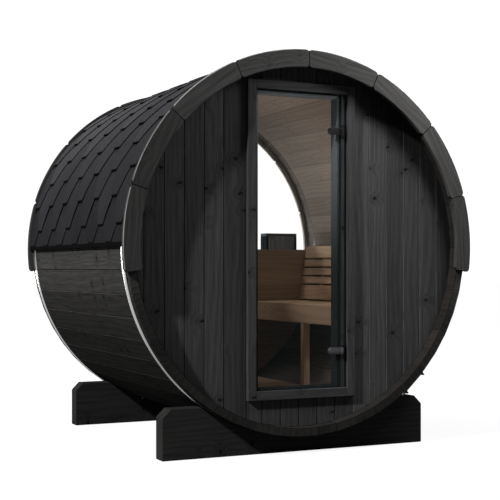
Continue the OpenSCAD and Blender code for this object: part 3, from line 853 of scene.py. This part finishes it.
class SAUNA_OT_trim(bpy.types.Operator):
    """Trim: boards carried along an arc, with a soft notch on either edge where two of them meet"""
    bl_idname = "sauna.trim"
    bl_label = "Trim"

    def execute(self, context):
        sizes = context.scene.sauna_sizes
        inner, outer, axis = sizes.trim_inner, sizes.trim_outer, sizes.axis_height
        middle, joint = (inner + outer) / 2, CLEAR / outer
        rings, end_edge, end_tone = 18, 0.0026, 0.4
        rim_highlight_radius, rim_highlight_depth = outer - 0.0031, 0.0036

        def recess(r):
            """How far an end draws back near either edge of the board, as a chamfer with a soft foot."""
            near = np.clip(np.minimum(r - inner, outer - r) / sizes.notch_depth, 0.0, 1.0)
            return sizes.notch_width * (1.0 - near) ** 1.25

        def bent(shape, side, turn_low, turn_high, front, pale):
            """One board between two angles, with a flat map and the tone pale, a painted highlight, on its
            outer front edge.
            """

            def place(a, d, l):
                """Across is the radius, and the length over the middle radius is the angle."""
                return np.stack([side * a * np.cos(l / middle), d, axis + a * np.sin(l / middle)], -1)

            board = plank(shape, lambda r: turn_low * middle + recess(r),
                          lambda r: turn_high * middle - recess(r), place, end_edge, rings)
            flat = board.points[board.faces]
            x, y, z = side * flat[..., 0], flat[..., 1], flat[..., 2] - axis
            tilt = (turn_low + turn_high) / 2
            straight = np.stack([z * math.cos(tilt) - x * math.sin(tilt),
                                 x * math.cos(tilt) + z * math.sin(tilt) + y], -1)
            # painted highlight: the outer front edge of the front trim is made five times lighter
            rim_highlight = (np.hypot(x, z).mean(1) > rim_highlight_radius) & (y.mean(1) < front + rim_highlight_depth)
            tone = np.where(rim_highlight, pale, 1.0)
            tone[:len(shape)] = tone[rings * len(shape):] = end_tone
            return board._replace(marks=straight, tone=tone)

        for end, pale in (("front", 5.0), ("rear", 1.0)):
            (_, front, _), (_, back, _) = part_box(end + "_trim_right")
            shape = outline(inner, outer, front, back, sizes.trim_arris, None, 14)
            span, reach = shape[:, 0] - middle, (outer - inner) / 2 - sizes.trim_arris
            within = np.abs(span) < reach - 1e-6
            shape[within, 0] = middle + np.sin(span[within] / reach * math.pi / 2) * reach
            for side, name in SIDES:
                turns = math.pi / 2 - np.arange(5) * sizes.trim_angle
                boards = [bent(shape, side, turn_low + joint, turn_high - joint, front, pale)
                          for turn_high, turn_low in zip(turns[:-1], turns[1:])]
                node = end + "_trim_" + name
                piece(node + "_boards", boards, "trim_wood", [node])
        return {"FINISHED"}


class SAUNA_OT_roof(bpy.types.Operator):
    """Roof: courses of six-sided shingles on the upper half, caps along the ridge and the eave strips"""
    bl_idname = "sauna.roof"
    bl_label = "Roof"

    def course(self, sizes, number, side, front, back, chance):
        """One course as a surface over y and the arc a above the level of the axis.

        The lower edge is a row of tabs: a = bottom + height * max(0, distance to the tab's middle - flat)
        / slant. The radius falls by one shingle in each height upwards, so each course lies on the one below,
        and each tab's edge sags or curls a little. The first row of points is the edge's foot, one thickness
        nearer the axis. The lowest course, number -1, reaches from the eave to the first row of tab edges.
        Tones differ from tab to tab, and get darker towards the eave, which is painted shade.
        """
        sag, curl, least = -0.0008, 0.0004, 0.002
        tone_spread, eave_painted_shade, painted_shade_rise = 0.14, 0.62, 0.075
        foot_painted_shadow, flat_edge_painted_shadow, slant_edge_painted_shadow = 0.25, 0.22, 0.9
        lowest = number < 0
        bottom = sizes.eave if lowest else sizes.first_course + number * sizes.course
        height = sizes.first_course - sizes.eave if lowest else sizes.course
        half, flat = sizes.tab_pitch / 2, sizes.tab_flat / 2
        slant = half - 2 * flat
        start = sizes.tab_start + (number % 2) * half

        def from_middle(y):
            """The number of the tab at y, and the distance to its middle."""
            tab = np.round((y - start) / sizes.tab_pitch)
            return tab.astype(int) + 20, np.abs(y - start - tab * sizes.tab_pitch)

        rise = [flat, flat + slant * 0.33, flat + slant * 0.66, half - flat, half - flat * 0.5]
        marks = np.array([-half] + [-mark for mark in rise] + [0.0] + rise)
        middles = start + np.arange(-2, 9) * sizes.tab_pitch
        y = np.unique(np.clip(np.round(np.add.outer(middles, marks).ravel(), 6), front, back))
        tab, away = from_middle(y)
        top = min(bottom + 2 * height, sizes.roof_outer * math.pi / 2)
        edge = bottom + height * np.maximum(away - flat, 0.0) / slant
        edge = np.clip(edge, sizes.eave, top - least)
        rows = np.concatenate([[0.0], np.linspace(0.03, 1.0, 9)])[:, None]
        a = edge + rows * (top - edge)
        lift = chance.uniform(sag, curl, 64)[tab]
        r = sizes.roof_outer - sizes.shingle / height * (a - bottom) + lift * (1.0 - rows) ** 2
        a, r = np.vstack([a[:1], a]), np.vstack([r[:1] - sizes.shingle, r])
        turn, along = a / sizes.roof_outer, np.broadcast_to(y, a.shape)
        points = np.stack([side * r * np.cos(turn), along, sizes.axis_height + r * np.sin(turn)], -1)
        faces = grid(*a.shape, side > 0)
        tab, away = from_middle((y[:-1] + y[1:]) / 2)
        tones = np.tile((1.0 + tone_spread * chance.uniform(-1.0, 1.0, 64))[tab], (len(a) - 1, 1))
        # painted shade: the lower courses are darker
        tones *= eave_painted_shade + painted_shade_rise * min(number + 1, 8)
        # painted shadow: the edge's foot and the row along each tab's lower edge are darker, most under the
        # flat edges
        tones[0] *= foot_painted_shadow
        tones[1] *= np.where(away < flat, flat_edge_painted_shadow, slant_edge_painted_shadow)
        sheet = np.stack([along, a], -1).reshape(-1, 2)
        return Board(points.reshape(-1, 3), faces, sheet[faces], tones.ravel())

    def underlay(self, sizes, side, front, back):
        """The felt under the tabs: a sheet from eave to ridge, one thickness below the tabs at the eave."""
        deepest, tone = 0.0115, 0.62
        turn = np.linspace(sizes.eave / sizes.roof_outer, math.pi / 2, 56)
        turn = np.concatenate([turn[:1], turn])[:, None]
        sunk = sizes.shingle * (1.04 + (turn * sizes.roof_outer - sizes.eave) / sizes.course)
        r = sizes.roof_outer - np.minimum(sunk, deepest)
        r[0] = sizes.roof_inner
        points = np.stack(np.broadcast_arrays(side * r * np.cos(turn), np.array([front, back]),
                                              sizes.axis_height + r * np.sin(turn)), -1).reshape(-1, 3)
        faces = grid(len(r), 2, side > 0)
        return Board(points, faces, points[faces][..., 1:], np.full(len(faces), tone))

    def cap(self, sizes, start, reach):
        """One ridge cap: a bent sheet that rises by lift from its start to its far end."""
        lift, under, over = 0.0035, 0.003, 0.0015

        def place(a, d, l):
            """Depth is the radius, which grows along the ridge, and across is the arc from the top."""
            r = d + lift * (l - start) / reach
            turn = a / sizes.roof_outer
            return np.stack([r * np.sin(turn), l, sizes.axis_height + r * np.cos(turn)], -1)

        shape = outline(-sizes.cap_half, sizes.cap_half, sizes.roof_outer - under, sizes.roof_outer + over,
                        2 * FINE, None, 10)
        return plank(shape, start, start + reach, place, KEEN)

    def execute(self, context):
        sizes = context.scene.sauna_sizes
        curve, drip = math.radians(25), 0.005
        for (side, name), seed in zip(SIDES, (41, 17)):
            (_, front, _), (_, back, _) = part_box("roof_" + name)
            chance = np.random.default_rng(seed)
            made = [self.underlay(sizes, side, front, back)]
            made += [self.course(sizes, number, side, front, back, chance) for number in range(-1, 10)]
            piece("roof_" + name + "_shingles", made, "shingles", ["roof_" + name],
                  smooth=curve, spread=0.0)
        pitch = (back - front - sizes.cap_lap) / sizes.ridge_caps
        caps = [self.cap(sizes, front + i * pitch, pitch + sizes.cap_lap) for i in range(sizes.ridge_caps)]
        piece("roof_ridge_caps", caps, "shingles", smooth=curve)
        low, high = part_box("eave_strips")
        strips = [plank(outline(a, b, low[2] + drip, high[2], 2 * KEEN), low[1], high[1], along_y)
                  for a, b in ((sizes.roof_inner, high[0]), (low[0], -sizes.roof_inner))]
        piece("eave_strip_boards", strips, "eave_black", ["eave_strips"])
        return {"FINISHED"}


class SAUNA_OT_bands(bpy.types.Operator):
    """Bands: a thin rounded strip carried once around the barrel, with the tighteners on it"""
    bl_idname = "sauna.bands"
    bl_label = "Bands"

    def hoop(self, sizes, start):
        """One band: the strip's outline turned about the axis in even steps, and closed both ways."""
        steps = 288
        shape = outline(start, start + sizes.band_width, sizes.band_radius,
                        sizes.band_radius + sizes.band_thickness, KEEN / 2)
        turn = np.linspace(0.0, 2 * math.pi, steps + 1)[:-1, None]
        y, r = shape.T
        points = np.stack(np.broadcast_arrays(r * np.cos(turn), y, sizes.axis_height + r * np.sin(turn)), -1)
        points = points.reshape(-1, 3)
        index = np.arange(len(points)).reshape(steps, -1)
        around = np.roll(index, -1, axis=0)
        faces = np.stack([index, around, np.roll(around, -1, axis=1), np.roll(index, -1, axis=1)], -1)
        faces = faces.reshape(-1, 4)
        return Board(points, faces, points[faces][..., :2], np.ones(len(faces)))

    def execute(self, context):
        sizes = context.scene.sauna_sizes
        low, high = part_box("steel_bands")
        hoops = [self.hoop(sizes, start) for start in (low[1], high[1] - sizes.band_width)]
        piece("steel_band_hoops", hoops, "band_steel", ["steel_bands"], smooth=math.radians(35))
        coat_node("tightener_lugs", "black_coating")
        coat_node("tightener_bolts", "band_steel")
        return {"FINISHED"}


class SAUNA_OT_cradles(bpy.types.Operator):
    """Cradles: thick boards whose top is the lowest of a level, two chamfers and the barrel's arc"""
    bl_idname = "sauna.cradles"
    bl_label = "Cradles"

    def execute(self, context):
        sizes = context.scene.sauna_sizes
        axis, arris = sizes.axis_height, sizes.cradle_arris
        for node in ("cradle_front", "cradle_rear"):
            low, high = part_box(node)
            knee = high[0] - sizes.cradle_chamfer
            hollow = float(half_chord(sizes.cradle_arc, axis - high[2]))

            def top(x):
                """The lowest of the level, the chamfers and the arc."""
                level = np.minimum(high[2], high[2] + knee - np.abs(x))
                return np.minimum(level, axis - half_chord(sizes.cradle_arc, x))

            shape = outline(low[0], high[0], low[1], high[1], arris, None, 138)
            for line in np.split(shape[:, 0], 2):
                for mark in (-knee, -hollow, hollow, knee):
                    line[np.argmin(np.abs(line - mark))] = mark
            board = plank(shape, low[2], top, along_z, arris)
            corners = board.points[board.faces]
            flat = np.stack([corners[..., 0], corners[..., 2] + corners[..., 1]], -1)
            piece(node + "_board", [board._replace(marks=flat)], "cradle_wood", [node])
        return {"FINISHED"}


class SAUNA_OT_cabin_floor(bpy.types.Operator):
    """Floor: planed boards along the cabin on bearers whose ends follow the lining"""
    bl_idname = "sauna.cabin_floor"
    bl_label = "Floor"

    def execute(self, context):
        sizes = context.scene.sauna_sizes
        wide = lining(sizes)[0]
        low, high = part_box("floor_boards")
        pitch = (high[0] - low[0] + sizes.board_gap) / sizes.floor_boards
        boards = []
        for i in range(sizes.floor_boards):
            left = low[0] + i * pitch
            shape = outline(left, left + pitch - sizes.board_gap, low[2], high[2], sizes.edge)
            boards.append(plank(shape, low[1], high[1], along_y))
        piece("floor_board_set", boards, "floor_wood", ["floor_boards"])
        low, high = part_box("floor_bearers")
        bearers = []
        for y in (low[1], (low[1] + high[1] - sizes.batten) / 2, high[1] - sizes.batten):
            shape = outline(low[2], high[2], y, y + sizes.batten, sizes.edge)
            bearers.append(plank(shape, lambda z: -wide(z), wide, along_x, FINE))
        piece("floor_bearer_set", bearers, "cabin_wood", ["floor_bearers"])
        return {"FINISHED"}


class SAUNA_OT_benches(bpy.types.Operator):
    """Benches: seat boards along both sides, a front board and one leg each"""
    bl_idname = "sauna.benches"
    bl_label = "Benches"

    def execute(self, context):
        sizes = context.scene.sauna_sizes
        ground = lining(sizes)[1]
        low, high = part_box("bench_seats")
        front_low, front_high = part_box("bench_fronts")
        outer, inner = front_high[0], front_high[0] - (high[2] - low[2])
        first = outer + CLEAR
        pitch = (high[0] - first + sizes.board_gap) / sizes.seat_boards
        seats, fronts, legs = [], [], []
        for side, _ in SIDES:

            def across(near, far, foot, top):
                """The outline of a board between two distances from the middle, on this side."""
                return outline(*sorted((side * near, side * far)), foot, top, sizes.seat_arris)

            for i in range(sizes.seat_boards):
                near = first + i * pitch
                shape = across(near, near + pitch - sizes.board_gap, low[2], high[2])
                seats.append(plank(shape, low[1], high[1], along_y))
            shape = across(inner, outer, front_low[2], front_high[2])
            fronts.append(plank(shape, front_low[1], front_high[1], along_y))
            shape = across(inner, inner + sizes.batten, -sizes.batten / 2, sizes.batten / 2)
            legs.append(plank(shape, ground, front_low[2] - CLEAR, along_z, FINE))
        piece("bench_seat_boards", seats, "cabin_wood", ["bench_seats"])
        piece("bench_front_boards", fronts, "cabin_wood", ["bench_fronts"])
        piece("bench_leg_posts", legs, "cabin_wood", ["bench_legs"])
        return {"FINISHED"}


class SAUNA_OT_backrests(bpy.types.Operator):
    """Backrests: slats on a slope that leans with the staves, on upright battens"""
    bl_idname = "sauna.backrests"
    bl_label = "Backrests"

    def execute(self, context):
        sizes = context.scene.sauna_sizes
        wide = lining(sizes)[0]
        heights = np.array([0.095, 0.046, 0.046, 0.046, 0.08])
        rise = heights.sum() + sizes.slat_gap * (len(heights) - 1)
        foot, top = (float(wide(sizes.backrest_foot + up_by)) - sizes.backrest_space for up_by in (0.0, rise))
        lean = math.asin((top - foot) / rise)
        starts = np.concatenate([[0.0], np.cumsum(heights + sizes.slat_gap)[:-1]])
        out, up = (math.cos(lean), -math.sin(lean)), (math.sin(lean), math.cos(lean))
        low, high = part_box("backrest_slats")
        slats, battens = [], []

        def reach(a):
            """How far the lining is behind the slope: the far root of the circle along the slope's normal."""
            x, z = foot + a * up[0], sizes.backrest_foot - sizes.axis_height + a * up[1]
            toward = x * out[0] + z * out[1]
            return -toward + np.sqrt(toward ** 2 - x ** 2 - z ** 2 + sizes.lining ** 2)

        for side, _ in SIDES:

            def slope(up_by, out_by, y, side=side):
                """A point from its way up the slope and its way out from it."""
                return np.stack([side * (foot + up_by * up[0] + out_by * out[0]), y,
                                 sizes.backrest_foot + up_by * up[1] + out_by * out[1]], -1)

            for start, height in zip(starts, heights):
                shape = outline(start, start + height, 0.0, sizes.slat_thickness, sizes.slat_arris)
                slats.append(plank(shape, low[1], high[1], slope, 2 * KEEN))
            for y in (-sizes.batten_place, sizes.batten_place):
                shape = outline(0.0, rise, y - sizes.batten / 2, y + sizes.batten / 2, 2 * KEEN, None, 8)
                battens.append(plank(shape, sizes.slat_thickness + CLEAR, reach,
                                     lambda a, d, l: slope(a, l, d), FINE))
        piece("backrest_slat_boards", slats, "cabin_wood", ["backrest_slats"])
        piece("backrest_batten_posts", battens, "cabin_wood", ["backrest_battens"])
        return {"FINISHED"}


class SAUNA_OT_stage(bpy.types.Operator):
    """Stage: a pale floor, a white surround, one sun from the upper left, soft lamps and the camera"""
    bl_idname = "sauna.stage"
    bl_label = "Stage"

    def backdrop(self, wire):
        """One where the camera, a reflection or a refraction looks, and zero for other light."""
        seen, shine, through = (wire.make("ShaderNodeLightPath", None, None, "Is " + ray + " Ray")
                                for ray in ("Camera", "Glossy", "Transmission"))
        return wire.math("MAXIMUM", wire.math("MAXIMUM", seen, shine), through)

    def surround(self, scene):
        """The world: soft light on the object, and white behind it."""
        world = bpy.data.worlds.new("surround")
        world.use_nodes = True
        world.node_tree.nodes.clear()
        wire = Wire(world.node_tree)
        soft = wire.make("ShaderNodeBackground", None, {"Color": (0.97, 0.98, 1.0, 1.0), "Strength": 0.08})
        white = wire.make("ShaderNodeBackground", None, {"Color": (1.0, 1.0, 1.0, 1.0), "Strength": 1.12})
        both = wire.make("ShaderNodeMixShader", None, {0: self.backdrop(wire), 1: soft, 2: white})
        wire.make("ShaderNodeOutputWorld", None, {"Surface": both})
        scene.world = world

    def floor(self, scene):
        """The floor: grey that keeps the shadow, with a glow that only the backdrop's rays see."""
        material, wire = new_material("pale_floor")
        grey = wire.make("ShaderNodeBsdfDiffuse", None, {"Color": (0.14, 0.14, 0.14, 1.0)})
        glow = wire.make("ShaderNodeEmission", None, {"Color": (1.0, 1.0, 1.0, 1.0), "Strength": 0.9})
        dark = wire.make("ShaderNodeEmission", None, {"Color": (0.0, 0.0, 0.0, 1.0), "Strength": 0.0})
        lit = wire.make("ShaderNodeMixShader", None, {0: self.backdrop(wire), 1: dark, 2: glow})
        total = wire.make("ShaderNodeAddShader", None, {0: grey, 1: lit})
        wire.make("ShaderNodeOutputMaterial", None, {"Surface": total})
        reach, depth = 60, -0.001
        corners = [(x * reach, y * reach, depth) for x, y in ((-1, -1), (1, -1), (1, 1), (-1, 1))]
        mesh = bpy.data.meshes.new("studio_floor")
        mesh.from_pydata(corners, [], [(0, 1, 2, 3)])
        mesh.materials.append(material)
        floor = bpy.data.objects.new("studio_floor", mesh)
        scene.collection.objects.link(floor)

    def lamps(self, scene):
        """The sun, and round lamps with their size, power, place and target."""

        def aim(made, direction):
            """Turns a lamp to shine in a direction, and adds it to the scene."""
            made.rotation_euler = Vector(direction).to_track_quat("-Z", "Y").to_euler()
            scene.collection.objects.link(made)

        sun = bpy.data.lights.new("high_sun", "SUN")
        sun.energy, sun.angle = 3.5, math.radians(2.5)
        aim(bpy.data.objects.new("high_sun", sun), (0.765, 0.245, -0.60))
        for name, size, energy, place, target in (
                ("front_fill", 1.2, 5.0, (1.2, -2.0, 3.4), (0.2, -0.8, 1.4)),
                ("door_fill", 0.4, 11.0, (0.88, -1.5, 2.55), (0.4, -0.8, 1.5)),
                ("right_fill", 0.6, 21.0, (1.7, -1.5, 2.6), (0.5, -0.8, 1.5)),
                ("roof_fill", 2.0, 100.0, (-1.0, 1.0, 4.2), (-0.5, 0.0, 1.6)),
                ("floor_fill", 0.3, 0.15, (0.53, -0.25, 0.52), (0.75, -0.25, 0.3)),
                ("side_fill", 2.0, 40.0, (3.6, 1.2, 1.8), (0.9, 0.2, 1.0)),
                ("window_low", 1.0, 60.0, (-1.5, 4.8, 1.05), (0.4, 0.0, 1.6)),
                ("window_high", 1.0, 55.0, (-1.2, 3.4, 2.6), (0.3, 0.0, 1.3))):
            lamp = bpy.data.lights.new(name, "AREA")
            lamp.shape, lamp.size, lamp.energy = "DISK", size, energy
            made = bpy.data.objects.new(name, lamp)
            made.location, made.visible_camera = place, False
            aim(made, Vector(target) - made.location)

    def execute(self, context):
        scene = context.scene
        scene.view_settings.view_transform = "Standard"
        self.surround(scene)
        self.floor(scene)
        self.lamps(scene)
        lens = bpy.data.cameras.new("front_camera")
        lens.sensor_width, lens.lens = 36.0, 82.8
        lens.shift_x, lens.shift_y = 0.0039, 0.0357
        lens.clip_end = 200.0
        camera = bpy.data.objects.new("front_camera", lens)
        camera.location = (-2.885, -6.211, 0.979)
        camera.rotation_euler = (math.radians(90), 0.0, -math.radians(25.47))
        scene.collection.objects.link(camera)
        scene.camera = camera
        return {"FINISHED"}


OPERATORS = (SAUNA_OT_staves, SAUNA_OT_end_walls, SAUNA_OT_door_frame, SAUNA_OT_door_leaf,
             SAUNA_OT_rear_window, SAUNA_OT_rear_box, SAUNA_OT_trim, SAUNA_OT_roof, SAUNA_OT_bands,
             SAUNA_OT_cradles, SAUNA_OT_cabin_floor, SAUNA_OT_benches, SAUNA_OT_backrests, SAUNA_OT_stage)


class SAUNA_PT_pieces(bpy.types.Panel):
    """Lists the pieces of the sauna, its sizes and its colours"""
    bl_idname = "SAUNA_PT_pieces"
    bl_label = "Barrel sauna"
    bl_space_type = "VIEW_3D"
    bl_region_type = "UI"
    bl_category = "Sauna"

    def draw(self, context):
        for operator in OPERATORS:
            self.layout.operator(operator.bl_idname)
        for group in (context.scene.sauna_sizes, context.scene.sauna_colours):
            column = self.layout.column(align=True)
            for name in group.__annotations__:
                column.prop(group, name)


CLASSES = (SaunaSizes, SaunaColours) + OPERATORS + (SAUNA_PT_pieces,)


def register():
    """Adds the classes, and the sizes and colours of each scene."""
    for made in CLASSES:
        bpy.utils.register_class(made)
    bpy.types.Scene.sauna_sizes = PointerProperty(type=SaunaSizes)
    bpy.types.Scene.sauna_colours = PointerProperty(type=SaunaColours)


def unregister():
    """Takes away what register adds."""
    del bpy.types.Scene.sauna_colours
    del bpy.types.Scene.sauna_sizes
    for made in reversed(CLASSES):
        bpy.utils.unregister_class(made)


def main():
    """Builds every piece and the stage in order."""
    register()
    for operator in OPERATORS:
        group, name = operator.bl_idname.split(".")
        getattr(getattr(bpy.ops, group), name)()


if __name__ == "__main__":
    main()
